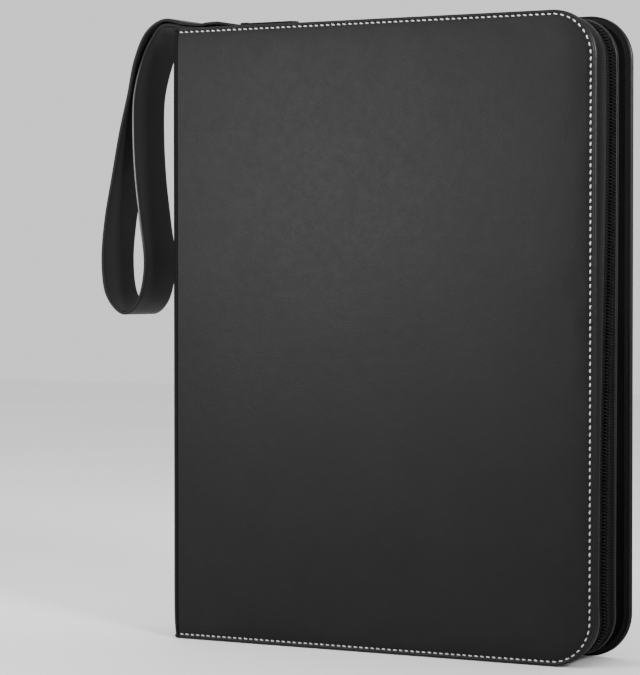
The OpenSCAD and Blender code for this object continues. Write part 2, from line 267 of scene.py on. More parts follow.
class Shader:
    """A short way to write node materials."""

    def __init__(self, name):
        self.mat = bpy.data.materials.new(name)
        self.mat.use_nodes = True
        self.tree = self.mat.node_tree
        self.bsdf = self.tree.nodes["Principled BSDF"]

    def node(self, kind, **values):
        n = self.tree.nodes.new(kind)
        for key, value in values.items():
            if hasattr(n, key):
                setattr(n, key, value)
            else:
                n.inputs[key.replace("_", " ")].default_value = value
        return n

    def link(self, a, b):
        self.tree.links.new(a, b)

    def coords(self, kind="Object", scale=(1, 1, 1)):
        source = self.node("ShaderNodeTexCoord")
        mapping = self.node("ShaderNodeMapping", Scale=scale)
        self.link(source.outputs[kind], mapping.inputs["Vector"])
        return mapping.outputs["Vector"]

    def noise(self, vector, scale, detail=2.0, roughness=0.5):
        n = self.node("ShaderNodeTexNoise", Scale=scale, Detail=detail, Roughness=roughness)
        self.link(vector, n.inputs["Vector"])
        return n.outputs["Fac"]

    def ramp(self, value, stops):
        n = self.node("ShaderNodeValToRGB")
        while len(n.color_ramp.elements) < len(stops):
            n.color_ramp.elements.new(0.5)
        for element, (position, color) in zip(n.color_ramp.elements, stops):
            element.position = position
            element.color = (*color, 1.0)
        self.link(value, n.inputs["Fac"])
        return n.outputs["Color"]

    def range(self, value, low, high, from_low=0.0, from_high=1.0):
        n = self.node("ShaderNodeMapRange", From_Min=from_low, From_Max=from_high, To_Min=low, To_Max=high)
        self.link(value, n.inputs["Value"])
        return n.outputs["Result"]

    def math(self, kind, a, b=None):
        n = self.node("ShaderNodeMath", operation=kind)
        for socket, value in ((0, a), (1, b)):
            if value is None:
                continue
            if isinstance(value, (int, float)):
                n.inputs[socket].default_value = value
            else:
                self.link(value, n.inputs[socket])
        return n.outputs[0]

    def split(self, vector):
        n = self.node("ShaderNodeSeparateXYZ")
        self.link(vector, n.inputs[0])
        return n.outputs

    def blend(self, a, share_a, b, share_b):
        return self.math("ADD", self.math("MULTIPLY", a, share_a), self.math("MULTIPLY", b, share_b))

    def ridges(self, value, factor):
        return self.math("ABSOLUTE", self.math("SINE", self.math("MULTIPLY", value, factor)))

    def bump(self, height, strength, distance, after=None):
        n = self.node("ShaderNodeBump", Strength=strength, Distance=distance)
        self.link(height, n.inputs["Height"])
        if after:
            self.link(after, n.inputs["Normal"])
        return n.outputs["Normal"]

    def finish(self, color, rough, normal=None, **values):
        for key, value in values.items():
            self.bsdf.inputs[key.replace("_", " ")].default_value = value
        self.link(color, self.bsdf.inputs["Base Color"])
        if isinstance(rough, float):
            self.bsdf.inputs["Roughness"].default_value = rough
        else:
            self.link(rough, self.bsdf.inputs["Roughness"])
        if normal:
            self.link(normal, self.bsdf.inputs["Normal"])
        return self.mat


def leather_material(name, low, high, rough_low, rough_high, spec, grain=0.3):
    """Imitation leather: fine pebbled grain, faint creases and slow changes of tone."""
    s = Shader(name)
    v = s.coords()
    cells = s.node("ShaderNodeTexVoronoi", feature="DISTANCE_TO_EDGE", Scale=1050)
    s.link(v, cells.inputs["Vector"])
    pebble = s.range(cells.outputs["Distance"], 0.0, 1.0, 0.0, 0.35)
    fine = s.noise(v, 2600, 2.0)
    slow = s.noise(v, 26, 3.0, 0.6)
    patch = s.noise(v, 190, 3.0, 0.6)
    color = s.ramp(s.blend(slow, 0.7, patch, 0.3), [(0.3, low), (0.7, high)])
    rough = s.range(s.blend(patch, 0.6, fine, 0.4), rough_low, rough_high, 0.3, 0.7)
    normal = s.bump(pebble, grain, 0.00008)
    normal = s.bump(fine, 0.25, 0.00004, normal)
    normal = s.bump(patch, 0.12, 0.0006, normal)
    return s.finish(color, rough, normal, IOR=1.46, Specular_IOR_Level=spec)


def edge_highlight_material():
    """The strap's cut edge: black, with a pale painted highlight, broken up by grain, on the leg beside the case. U
    is the distance along the strap.
    """
    s = Shader("strap_cut_edge")
    parts = s.split(s.coords("UV"))
    grain = s.noise(s.coords(), 1400, 3.0, 0.7)
    # painted highlight along a stretch of one leg's edge, broken up by grain
    painted_highlight = s.math("MULTIPLY", s.range(parts["X"], 0.0, 1.0, 0.255, 0.285), s.range(grain, 0.75, 1.0))
    painted_highlight = s.math("MULTIPLY", painted_highlight, s.range(parts["X"], 1.0, 0.0, 0.325, 0.365))
    color = s.ramp(painted_highlight, [(0.0, grey(0.008)), (1.0, grey(0.15))])
    return s.finish(color, 0.75, s.bump(grain, 0.4, 0.0001), Specular_IOR_Level=0.2)


def cloth_material(name, low, high):
    """Woven lining: crossing threads along X and Z, with slubs."""
    thread = 0.00045
    s = Shader(name)
    parts = s.split(s.coords(scale=(1 / thread, 1 / thread, 1 / thread)))
    warp = s.ridges(parts["X"], math.pi)
    weft = s.ridges(parts["Z"], math.pi)
    weave = s.math("MULTIPLY", warp, weft)
    slub = s.noise(s.coords(scale=(60, 60, 900)), 1.0, 2.0)
    color = s.ramp(s.blend(weave, 0.5, slub, 0.5), [(0.2, low), (0.8, high)])
    normal = s.bump(weave, 0.5, thread * 0.35)
    return s.finish(color, 0.82, normal, Sheen_Weight=0.04, Sheen_Roughness=0.5, Specular_IOR_Level=0.1)


def ribbed_material(name, low, high, rib):
    """Zip tape: ribs across the band, which runs along U; V crosses it."""
    s = Shader(name)
    parts = s.split(s.coords("UV"))
    ribs = s.ridges(parts["X"], math.pi / rib)
    rows = s.ridges(parts["Y"], math.pi / (rib * 0.8))
    weave = s.math("MULTIPLY", ribs, s.range(rows, 0.55, 1.0))
    slow = s.noise(s.coords(), 60, 3.0)
    color = s.ramp(s.blend(weave, 0.6, slow, 0.4), [(0.15, low), (0.85, high)])
    normal = s.bump(weave, 0.8, rib * 0.35)
    return s.finish(color, 0.7, normal, Sheen_Weight=0.01, Sheen_Roughness=0.4, Specular_IOR_Level=0.05)


def thread_material():
    """Light grey sewing thread with its twist."""
    s = Shader("sewing_thread")
    twist = s.ridges(s.noise(s.coords(), 900, 1.0), 24)
    color = s.ramp(twist, [(0.1, (0.22, 0.22, 0.23)), (0.9, grey(0.47))])
    return s.finish(color, 0.62, s.bump(twist, 0.5, 0.0001), Sheen_Weight=0.4, Sheen_Roughness=0.4)


def plastic_material(name, low, high, rough_low, rough_high, spec=0.5):
    """Moulded or painted black with faint mottling and wear."""
    s = Shader(name)
    v = s.coords()
    fine = s.noise(v, 900, 3.0)
    slow = s.noise(v, 120, 2.0)
    color = s.ramp(slow, [(0.35, low), (0.65, high)])
    rough = s.range(fine, rough_low, rough_high, 0.3, 0.7)
    return s.finish(color, rough, s.bump(fine, 0.12, 0.00006), Specular_IOR_Level=spec)


def metal_material(name, low, high, rough_low, rough_high, brushed):
    """Plated or rolled steel; brushed stretches the scratches."""
    s = Shader(name)
    streaks = s.noise(s.coords(scale=brushed), 700, 4.0, 0.7)
    slow = s.noise(s.coords(), 45, 2.0)
    color = s.ramp(slow, [(0.3, low), (0.7, high)])
    rough = s.range(streaks, rough_low, rough_high, 0.3, 0.7)
    return s.finish(color, rough, s.bump(streaks, 0.08, 0.00005), Metallic=1.0)


def board_material(name, low, high):
    """Pressed grey board or foam, hidden inside the covers."""
    s = Shader(name)
    grain = s.noise(s.coords(), 900, 4.0, 0.7)
    return s.finish(s.ramp(grain, [(0.3, low), (0.7, high)]), 0.9, s.bump(grain, 0.4, 0.0002))


def page_material(side):
    """Frosted film: thin pockets let light through, and each carries a painted highlight fading to a bluish painted
    shade; welds and the binding strip are whiter.
    U and V are the place on the page as shares of its width and height."""
    s = Shader(f"page_film_{SIDE_NAME[side]}")
    parts = s.split(s.coords("UV"))
    slow = s.noise(s.coords(), 18, 3.0, 0.5)
    haze = s.noise(s.coords(), 260, 3.0, 0.6)
    pockets = []
    for axis, start, span in (("X", 0.085, 0.905), ("Y", 0.01, 0.98)):
        place = s.math("MULTIPLY", s.math("SUBTRACT", parts[axis], start), 3 / span)
        pockets.append(s.math("FRACT", place))
    across, upward = pockets
    # painted highlight and shade: brightest along the top and the inner edge of every pocket, bluish and darker away
    # from them
    inner, outer = (0.0, 1.0) if side == FRONT else (1.0, 0.0)
    painted_pocket_glare = s.math("MULTIPLY", s.range(across, inner, outer), s.range(upward, 0.35, 1.0))
    welds = None
    for share, width in ((across, 0.035), (upward, 0.026)):
        near = s.math("ABSOLUTE", s.math("SUBTRACT", s.math("ABSOLUTE", s.math("SUBTRACT", share, 0.5)), 0.5))
        line = s.range(near, 1.0, 0.0, width * 0.4, width)
        welds = line if welds is None else s.math("MAXIMUM", welds, line)
    tone = s.blend(painted_pocket_glare, 0.85, slow, 0.15)
    film = s.ramp(tone, [(0.08, (0.50, 0.53, 0.66)), (0.45, (0.75, 0.77, 0.85)), (0.85, (0.95, 0.95, 0.97))])
    mix = s.node("ShaderNodeMix", data_type="RGBA")
    s.link(welds, mix.inputs["Factor"])
    s.link(film, mix.inputs["A"])
    mix.inputs["B"].default_value = (0.93, 0.93, 0.95, 1.0)
    rough = s.range(haze, 0.22, 0.38, 0.3, 0.7)
    normal = s.bump(slow, 0.25, 0.002)
    return s.finish(mix.outputs["Result"], rough, normal, Transmission_Weight=0.1, IOR=1.49, Coat_Weight=0.3,
                    Coat_Roughness=0.18)


def binding_material():
    """The white, thicker strip along the page's inner edge."""
    s = Shader("page_binding")
    haze = s.noise(s.coords(), 500, 3.0, 0.6)
    color = s.ramp(haze, [(0.3, grey(0.80)), (0.7, (0.92, 0.92, 0.91))])
    return s.finish(color, s.range(haze, 0.35, 0.5, 0.3, 0.7), s.bump(haze, 0.1, 0.0001))


LEATHER = leather_material("black_leather", grey(0.0032), grey(0.0050), 0.35, 0.43, 0.145)
# a darker, less shiny copy of the cover leather for the fold by the spine and for the hem: painted shade
FOLD_LEATHER_SHADED = leather_material("fold_leather_painted_shade", grey(0.0022), grey(0.0036), 0.42, 0.52, 0.07)
STRAP_LEATHER = leather_material("strap_leather", grey(0.0078), grey(0.0112), 0.44, 0.54, 0.08, grain=0.4)
STRAP_EDGE = edge_highlight_material()
LINING_CLOTH = cloth_material("black_lining", (0.0015, 0.0015, 0.0017), (0.006, 0.006, 0.0065))
# the back band is darker and less shiny than the front: partly its own dark cloth, partly painted shade where it is
# pulled in
GUSSET_WITH_SHADED_BACK = {FRONT: leather_material("gusset_front", grey(0.0020), grey(0.0038), 0.40, 0.52, 0.075),
          BACK: leather_material("gusset_back_dark_and_painted_shade", grey(0.0008), grey(0.002), 0.6, 0.75, 0.02)}
TAPE = ribbed_material("zip_tape", grey(0.0004), grey(0.0065), 0.0015)
# near-black strip for the front roll: a painted shadow in the crease beside the zip
CREASE_SHADOW = leather_material("painted_crease_shadow", grey(0.0004), grey(0.0008), 0.75, 0.85, 0.01)
PIPING = leather_material("seam_piping", grey(0.004), grey(0.008), 0.35, 0.5, 0.14)
COIL = plastic_material("zip_coil", grey(0.0015), grey(0.004), 0.52, 0.68, 0.06)
THREAD = thread_material()
BLACK_METAL = plastic_material("black_painted_metal", grey(0.004), grey(0.009), 0.45, 0.6, 0.05)
LEVER_PLASTIC = plastic_material("lever_plastic", grey(0.004), grey(0.009), 0.32, 0.5)
NICKEL = metal_material("nickel_plate", (0.72, 0.71, 0.69), (0.84, 0.83, 0.81), 0.10, 0.22, (1, 1, 6))
DARK_STEEL = metal_material("dark_satin_steel", (0.022, 0.022, 0.024), (0.045, 0.045, 0.048), 0.28, 0.42,
                            (8, 8, 0.6))
BOARD = board_material("grey_board", (0.30, 0.27, 0.22), (0.42, 0.38, 0.31))
FOAM = board_material("foam_padding", grey(0.18), grey(0.30))
FILM = {side: page_material(side) for side in (FRONT, BACK)}
BINDING = binding_material()


def paint(obj, *materials):
    obj.data.materials.clear()
    for material in materials:
        obj.data.materials.append(material)
    return obj


def shade_smooth(obj):
    for poly in obj.data.polygons:
        poly.use_smooth = True


def soften(obj, width, segments=2):
    """Rounds a CAD part's sharp edges."""
    bevel = obj.modifiers.new("soft_edges", "BEVEL")
    bevel.width = width
    bevel.segments = segments
    bevel.limit_method = "ANGLE"
    bevel.angle_limit = math.radians(40)


# ---- the case's leather ----

# how the skin turns over an edge, in millimetres: distance in from the edge, and depth below the outer face
EDGE_TURN = [(2.4, 4.55), (1.0, 4.55), (0.4, 4.45), (0.1, 4.15), (0.0, 3.8), (0.2, 3.4), (0.75, 3.05), (1.3, 2.7),
             (1.25, 2.35), (0.7, 2.0), (0.18, 1.65), (0.0, 1.25), (0.08, 0.85), (0.3, 0.5), (0.6, 0.34), (1.0, 0.28),
             (1.4, 0.4), (1.8, 0.7), (2.2, 0.88), (2.8, 0.78), (3.6, 0.62), (5.2, 0.47), (8, 0.3), (11, 0.17),
             (15, 0.08), (20, 0.03)]
# further rings of the cover's flat middle, by their distance from the edge
INNER_RINGS = [28, 40, 56, 76, 100, 130, 160, 168]
# the hem lies deeper than this, and takes this much leather at each edge
HEM_DEPTH = 4.1 * MM
# one stitch: share of its length, and height of the thread in millimetres
STITCH_SHAPE = [(0.26, -0.3), (0.35, 0.08), (0.5, 0.16), (0.65, 0.08), (0.74, -0.3)]


def edge_fade(inset):
    """0 at the edge and 1 from 24 mm inside it."""
    return smoothstep((inset - 4 * MM) / (20 * MM))


def outer_wave(x, z, side, inset):
    """The skin isn't quite flat: slow waves that fade out at the edge, and short ripples where the seam pulls."""
    fade = edge_fade(inset)
    ripple = math.exp(-((inset - 9.5 * MM) / (5 * MM)) ** 2)
    return (fade * (0.22 * MM * wave_noise(x, side, z, 0.075, 3.1) + 0.07 * MM * wave_noise(x, side, z, 0.028, 7.7))
            + ripple * 0.34 * MM * wave_noise(x, side, z, 0.02, 11.9))


def pucker(phase, inset):
    """Depth that the stitches pull into the skin, deepest at their ends."""
    near = math.exp(-((inset - STITCH_INSET) / (0.9 * MM)) ** 2)
    return near * 0.2 * MM * (0.5 + 0.5 * math.cos(2 * math.pi * phase))


def cover_skin(side):
    """One cover's leather: it turns over the three free edges, dips under the stitches and is nearly flat inside."""
    rings = [(d * MM, t * MM) for d, t in EDGE_TURN] + [(d * MM, -0.04 * MM) for d in INNER_RINGS]
    samples = path_samples(3)
    verts, uvs = [], []
    for inset, depth in rings:
        path = EdgePath(inset)
        for part, t, phase in samples:
            x, z, _, _ = path.place(part, t)
            d = depth
            if depth < 1.5 * MM:
                d += pucker(phase, inset) - outer_wave(x, z, side, inset)
            verts.append((x, side * (HALF_D - d), z))
            uvs.append((x, z))
    name = SIDE_NAME[side]
    obj = new_object(f"{name}_cover_leather", verts, grid_faces(len(rings), len(samples)), uvs, weld=0.05 * MM)
    paint(obj, LEATHER, FOLD_LEATHER_SHADED)
    hem_y = HALF_D - HEM_DEPTH
    for poly in obj.data.polygons:
        # the turned-in hem is matt like the band sewn to it, and darker: painted shade in the recess
        if max(abs(obj.data.vertices[v].co.y) for v in poly.vertices) < hem_y:
            poly.material_index = 1
    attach(obj, f"{name}_cover")
    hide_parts(f"{name}_skin")


def stitch_row(side):
    """Separate stitches of thread that dip into the leather at both ends."""
    path = EdgePath(STITCH_INSET)
    parts = []
    for part, count in enumerate(STITCH_COUNTS):
        for k in range(count):
            points = []
            for step, lift in STITCH_SHAPE:
                x, z, nx, nz = path.place(part, (k + step) / count)
                slant = (step - 0.5) * 0.5 * MM
                y = side * (HALF_D - THREAD_DEPTH + lift * MM)
                points.append(Vector((x + nx * slant, y, z + nz * slant)))
            parts.append(tube(points, THREAD_R, 6, [0.7, 1, 1.05, 1, 0.7]))
    verts, faces = merge(parts)
    name = SIDE_NAME[side]
    obj = new_object(f"{name}_stitches", verts, faces)
    paint(obj, THREAD)
    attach(obj, f"{name}_cover")
    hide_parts(f"{name}_stitching")


def z_profile(reach):
    """The skin's turn at the bottom and at the top, as (height, depth) up the case; reach limits the depth."""
    bottom = [(d * MM, min(t, reach) * MM) for d, t in EDGE_TURN]
    middle = [(lerp(26 * MM, CASE_H - 26 * MM, k / 60), 0.0) for k in range(61)]
    top = [(CASE_H - d, t) for d, t in reversed(bottom)]
    return bottom + middle + top


def wrapped_skin(name, stations, reach, wave):
    """A sheet over stations [(x, y, inward x, inward y)], turned over at the top and the bottom."""
    profile = z_profile(reach)
    verts, uvs = [], []
    run = 0.0
    for i, (x, y, nx, ny) in enumerate(stations):
        if i:
            run += math.dist((x, y), stations[i - 1][:2])
        for z, depth in profile:
            fade = edge_fade(min(z, CASE_H - z))
            d = depth - fade * wave * wave_noise(x, y, z, 0.05, 5.3)
            verts.append((x + nx * d, y + ny * d, z))
            uvs.append((run, z))
    return new_object(name, verts, grid_faces(len(stations), len(profile)), uvs)


def spine_skin_piece(folds):
    stations = [(SPINE_X, lerp(-SPINE_HALF, SPINE_HALF, k / 24), 1.0, 0.0) for k in range(25)]
    obj = wrapped_skin("spine_leather", stations, 4.2, 0.12 * MM)
    paint(obj, LEATHER)
    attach(obj, "spine")
    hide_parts("spine_skin")


def fold_piece(side):
    """The skin that folds round the corner between the spine and a cover, with the lining inside it."""
    stations = []
    for k in range(31):
        turn = math.pi / 2 * k / 30
        nx, ny = math.cos(turn), -side * math.sin(turn)
        cx, cy = SPINE_X + FOLD_R, side * SPINE_HALF
        radius = FOLD_R - 0.55 * MM * math.exp(-((turn - math.radians(83)) / math.radians(6)) ** 2)
        stations.append((cx - nx * radius, cy - ny * radius, nx, ny))
    name = SIDE_NAME[side]
    outer = wrapped_skin(f"{name}_fold_leather_painted_shade", stations, 1.5, 0.1 * MM)
    paint(outer, FOLD_LEATHER_SHADED)
    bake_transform(outer)
    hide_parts(f"{name}_hinge_strip")
    return outer


for side in (FRONT, BACK):
    cover_skin(side)
    stitch_row(side)
spine_skin_piece([fold_piece(side) for side in (FRONT, BACK)])


# ---- lining ----

def panel_sheet(name, cad_node, material, y_range, z_range, x, thick):
    """A closed thin sheet of cloth or foam on the spine's inner face, from x inwards, with softened edges."""
    ny, nz = 12, 60
    verts, uvs = [], []
    for layer in (0, 1):
        for i in range(ny + 1):
            for j in range(nz + 1):
                y = lerp(*y_range, i / ny)
                z = lerp(*z_range, j / nz)
                edge = min(y - y_range[0], y_range[1] - y, z - z_range[0], z_range[1] - z)
                wave = 0.08 * MM * wave_noise(x, y, z, 0.03, 1.7) * smoothstep(edge / (8 * MM))
                verts.append((x + layer * (thick - wave - 0.2 * thick * math.exp(-edge / (1.2 * MM))), y, z))
                uvs.append((y, z))
    obj = new_object(name, verts, slab_faces(ny + 1, nz + 1), uvs)
    paint(obj, material)
    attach(obj, "spine")
    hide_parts(cad_node)
    return obj


def cover_lining(side):
    """The cover's lining follows the cover's outline, so it is built on the same nested paths."""
    # distance in from the edge and height above the hem, in millimetres
    rings = [(1.0, 0.0), (1.0, 0.35), (1.3, 0.5), (2.2, 0.55)]
    rings += [(inset, 0.5) for inset in (4, 8, 14, 22, 34, 50, 70, 95, 125, 155, 167.9)]
    samples = path_samples(1)
    verts, uvs = [], []
    base = HALF_D - HEM_DEPTH
    for inset, rise in rings:
        path = EdgePath(inset * MM, COVER_X + 0.4 * MM)
        for part, t, _ in samples:
            x, z, _, _ = path.place(part, t)
            wave = 0.1 * MM * wave_noise(x, side, z, 0.035, 9.2) * smoothstep((inset - 3) / 20)
            verts.append((x, side * (base - rise * MM - wave), z))
            uvs.append((x, z))
    name = SIDE_NAME[side]
    obj = new_object(f"{name}_lining_cloth", verts, grid_faces(len(rings), len(samples)), uvs, weld=0.05 * MM)
    paint(obj, LINING_CLOTH)
    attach(obj, f"{name}_cover")
    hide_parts(f"{name}_lining")


def foam_pad(side):
    """The thin foam under the cover's leather, with soft edges."""
    name = SIDE_NAME[side]
    lo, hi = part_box(f"{name}_foam")
    y_out, y_in = y_ends(side, "foam")
    inset = CASE_H - hi[2]
    samples = path_samples(1)
    # one face and half the edge: distance in from the outline in millimetres, and share of the thickness
    half = [(168, 0), (120, 0), (60, 0), (20, 0), (4, 0), (1.2, 0.04), (0.3, 0.2)]
    rings = half + [(0, 0.5)] + [(grow, 1 - share) for grow, share in reversed(half)]
    verts = []
    for grow, share in rings:
        path = EdgePath(min(inset + grow * MM, MID_Z), lo[0])
        for part, t, _ in samples:
            x, z, _, _ = path.place(part, t)
            verts.append((x, lerp(y_out, y_in, share), z))
    cols = len(samples)
    faces = grid_faces(len(rings), cols)
    for k in (0, cols - 1):
        faces.append(tuple(i * cols + k for i in range(len(rings))))
    obj = new_object(f"{name}_foam_pad", verts, faces, weld=0.03 * MM)
    paint(obj, FOAM)
    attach(obj, f"{name}_cover")
    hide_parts(f"{name}_foam")


def fold_lining(side):
    """Lining cloth across the fold, from the spine's lining to the cover's."""
    name = SIDE_NAME[side]
    inner_r = 1.2 * MM
    cx, cy = COVER_X - 0.2 * MM, side * (SPINE_HALF + 0.2 * MM)
    line = [(SPINE_X + COVER_T - 0.1 * MM, side * (SPINE_HALF - 3 * MM)),
            (SPINE_X + COVER_T - 0.3 * MM, side * (SPINE_HALF - 1 * MM))]
    for k in range(3, 10):
        turn = math.pi / 2 * k / 12
        line.append((cx - inner_r * math.cos(turn), cy + side * inner_r * math.sin(turn)))
    line += [(COVER_X + 1 * MM, side * (LINING_Y + 0.3 * MM)), (COVER_X + 3 * MM, side * (LINING_Y + 0.1 * MM))]
    verts, uvs = [], []
    heights = [lerp(2.2 * MM, CASE_H - 2.2 * MM, j / 60) for j in range(61)]
    for layer in (0, 1):
        for i, (x, y) in enumerate(line):
            shift = 0.3 * MM if layer else 0.0
            for z in heights:
                verts.append((x - shift * 0.7, y + side * shift * 0.7, z))
                uvs.append((i * MM, z))
    count = len(line) * len(heights)
    faces = grid_faces(len(line), len(heights)) + grid_faces(len(line), len(heights), first=count)
    obj = new_object(f"{name}_fold_lining", verts, faces, uvs)
    paint(obj, LINING_CLOTH)
    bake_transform(obj)
    return obj


for side in (FRONT, BACK):
    cover_lining(side)
    foam_pad(side)
    fold_lining(side)
spine_cloth = panel_sheet("spine_lining_cloth", "spine_lining", LINING_CLOTH,
                          (-SPINE_HALF + 0.5 * MM, SPINE_HALF - 0.5 * MM), (3.2 * MM, CASE_H - 3.2 * MM),
                          SPINE_X + COVER_T - 0.5 * MM, 0.45 * MM)
foam_lo, foam_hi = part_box("spine_foam")
panel_sheet("spine_foam_pad", "spine_foam", FOAM, (foam_lo[1], foam_hi[1]),
                      (foam_lo[2], foam_hi[2]), foam_lo[0], foam_hi[0] - foam_lo[0])


# ---- side bands, zip tape and zip coil ----

# how far the zip swings to the side, over what length, and how far from the fore-edge's middle it does so
SEAM_SWING = 4.6 * MM
SEAM_PERIOD = 0.5
SEAM_REACH = 0.180


def seam_wave(m):
    """The slack zip wanders across the edge; m is the distance along it from the middle of the fore-edge."""
    loose = smoothstep((SEAM_REACH - abs(m)) / 0.05)
    return loose * (SEAM_SWING * math.sin(2 * math.pi * m / SEAM_PERIOD)
                    + 0.5 * MM * noise.noise(Vector((m / 0.045, 4.2, 0.3))))


def band_bulge(m, v, side):
    """How far a side band bellies out of its plane; v runs from the cover (0) to the tape (1). The front band is
    pushed out by the slack and folds in sharply beside the zip, the back one is pulled in."""
    fold = noise.noise(Vector((m / 0.06, v * 1.2, 3.0 + side)))
    if side == FRONT:
        tuck = smoothstep((v - 0.8) / 0.2)
        return MM * ((1.5 * math.sin(math.pi * min(v / 1.3, 1.0)) + 0.5 * fold * math.sin(math.pi * v)) * (1 - tuck)
                     - 2.4 * tuck)
    return MM * (-3.0 * math.sin(math.pi * v) + 0.5 * fold * math.sin(math.pi * v))


BAND_X0 = SPINE_X + 2.5 * MM
BAND_STEP = 1.5 * MM


def swept_band(name, lines, material, thick, wave_share, bulge=None):
    """A band that runs round the three sides. lines holds (y, extra inset) across it; wave_share(i) says how much
    of the seam's wandering line i takes, and bulge(m, v) how far the band bellies out."""
    path = EdgePath(RECESS, BAND_X0)
    count = int(path.total / BAND_STEP)
    verts, uvs = [], []
    for layer in (0, 1):
        for i, (y, extra) in enumerate(lines):
            for k in range(count + 1):
                s = path.total * k / count
                m = s - path.total / 2
                x, z, nx, nz = path.at(s)
                ends = smoothstep(s / (40 * MM)) * smoothstep((path.total - s) / (40 * MM))
                out = -extra - layer * thick
                if bulge:
                    out += ends * bulge(m, i / (len(lines) - 1))
                verts.append((x + nx * out, y + wave_share(i) * seam_wave(m), z + nz * out))
                uvs.append((s, y))
    rows = len(lines)
    size = rows * (count + 1)
    faces = grid_faces(rows, count + 1) + grid_faces(rows, count + 1, first=size)
    for row in (0, rows - 1):
        for k in range(count):
            a = row * (count + 1) + k
            faces.append((a, a + 1, a + 1 + size, a + size))
    for k in (0, count):
        for i in range(rows - 1):
            a = i * (count + 1) + k
            b = a + count + 1
            faces.append((a, b, b + size, a + size))
    obj = new_object(name, verts, faces, uvs)
    paint(obj, material)
    return obj


def blend_band(obj):
    """Bakes the band's placement into its mesh."""
    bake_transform(obj)


def side_bands(side):
    """One half's bands: the side band from the cover, the rolled seam beside it and the zip's tape."""
    name = SIDE_NAME[side]
    outer = side * (LINING_Y + 0.4 * MM)
    tape_edge, coil_edge = TAPE_EDGE[side], COIL_EDGE[side]
    # the front tape moves with the zip, and the back one takes up the slack by folding
    edge_share = 1.0 if side == FRONT else 0.25
    steps = 16
    lines = [(lerp(outer, tape_edge, i / steps), 0.0) for i in range(steps + 1)]
    band = swept_band(f"{name}_gusset_cloth", lines, GUSSET_WITH_SHADED_BACK[side], 0.8 * MM,
                      lambda i: edge_share * i / steps, lambda m, v: band_bulge(m, v, side))
    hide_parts(f"{name}_gusset")
    # a rolled seam where the band is sewn to the tape; at the front it is tucked out of sight in the crease, and
    # there it is a near-black strip that paints the crease's shadow
    wide, lift = (1.1 * MM, -1.3 * MM) if side == FRONT else (1.4 * MM, 1.0 * MM)
    roll_y = tape_edge + side * wide
    roll_lines = []
    for k in range(11):
        turn = math.pi * k / 10
        roll_lines.append((roll_y - side * wide * math.cos(turn), 0.3 * MM - lift * math.sin(turn)))
    roll = swept_band(f"{name}_seam_roll", roll_lines, CREASE_SHADOW if side == FRONT else PIPING, 0.6 * MM,
                      lambda i: edge_share)
    tape_steps = 9
    tape_lines = []
    for i in range(tape_steps + 1):
        v = i / tape_steps
        sag = 2.0 * MM * (1 - smoothstep(v / 0.55)) if side == FRONT else 0.8 * MM * math.sin(math.pi * v)
        tape_lines.append((lerp(tape_edge, coil_edge, v), 0.25 * MM + sag))
    # the tape runs on under the coil and stops just short of the seam
    tape_lines += [(lerp(coil_edge, SEAM_Y + side * 0.1 * MM, v), 1.7 * MM) for v in (0.15, 0.5, 1.0)]
    tape = swept_band(f"{name}_tape_cloth", tape_lines, TAPE, 0.6 * MM,
                      lambda i: lerp(edge_share, 1.0, min(i / tape_steps, 1.0)))
    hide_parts(f"{name}_zip_tape")
    for piece in (band, roll, tape):
        blend_band(piece)
    return band, [roll, tape]


TOOTH_PITCH = 1.75 * MM
TOOTH_R = 0.37 * MM
# one tooth's loop: share of its reach, lift in millimetres, and lean as a share of the pitch
TOOTH_SHAPE = [(0.0, -0.25, 0.0), (0.35, -0.75, 0.06), (0.8, -0.75, 0.02), (1.0, 0.0, 0.0), (0.8, 0.65, -0.02),
               (0.3, 0.55, 0.0), (0.0, 0.1, 0.1)]


def zip_teeth(side, band, on_band):
    """One row of the coil: a loop of monofilament for each tooth, reaching just past the seam's middle."""
    name = SIDE_NAME[side]
    path = EdgePath(RECESS, BAND_X0 + 4 * MM)
    count = int(path.total / TOOTH_PITCH)
    outer = COIL_EDGE[side] + side * 1.2 * MM
    parts = []
    shift = 0.25 if side == FRONT else 0.75
    for k in range(count):
        s = (k + shift) * path.total / count
        points = []
        for share, lift, lean in TOOTH_SHAPE:
            x, z, nx, nz = path.at(s + lean * TOOTH_PITCH)
            y = lerp(outer, SEAM_Y - side * 0.45 * MM, share) + seam_wave(s - path.total / 2)
            out = (lift - 0.25) * MM
            points.append(Vector((x + nx * out, y, z + nz * out)))
        parts.append(tube(points, TOOTH_R, 6))
    verts, faces = merge(parts)
    obj = new_object(f"{name}_zip_teeth", verts, faces)
    paint(obj, COIL)
    blend_band(obj)
    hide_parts(f"{name}_zip_coil")


for side in (FRONT, BACK):
    zip_teeth(side, *side_bands(side))


# ---- the zip's ends, the slider and the pull ----

STUB_HALF = TAPE_EDGE[BACK] - SEAM_Y


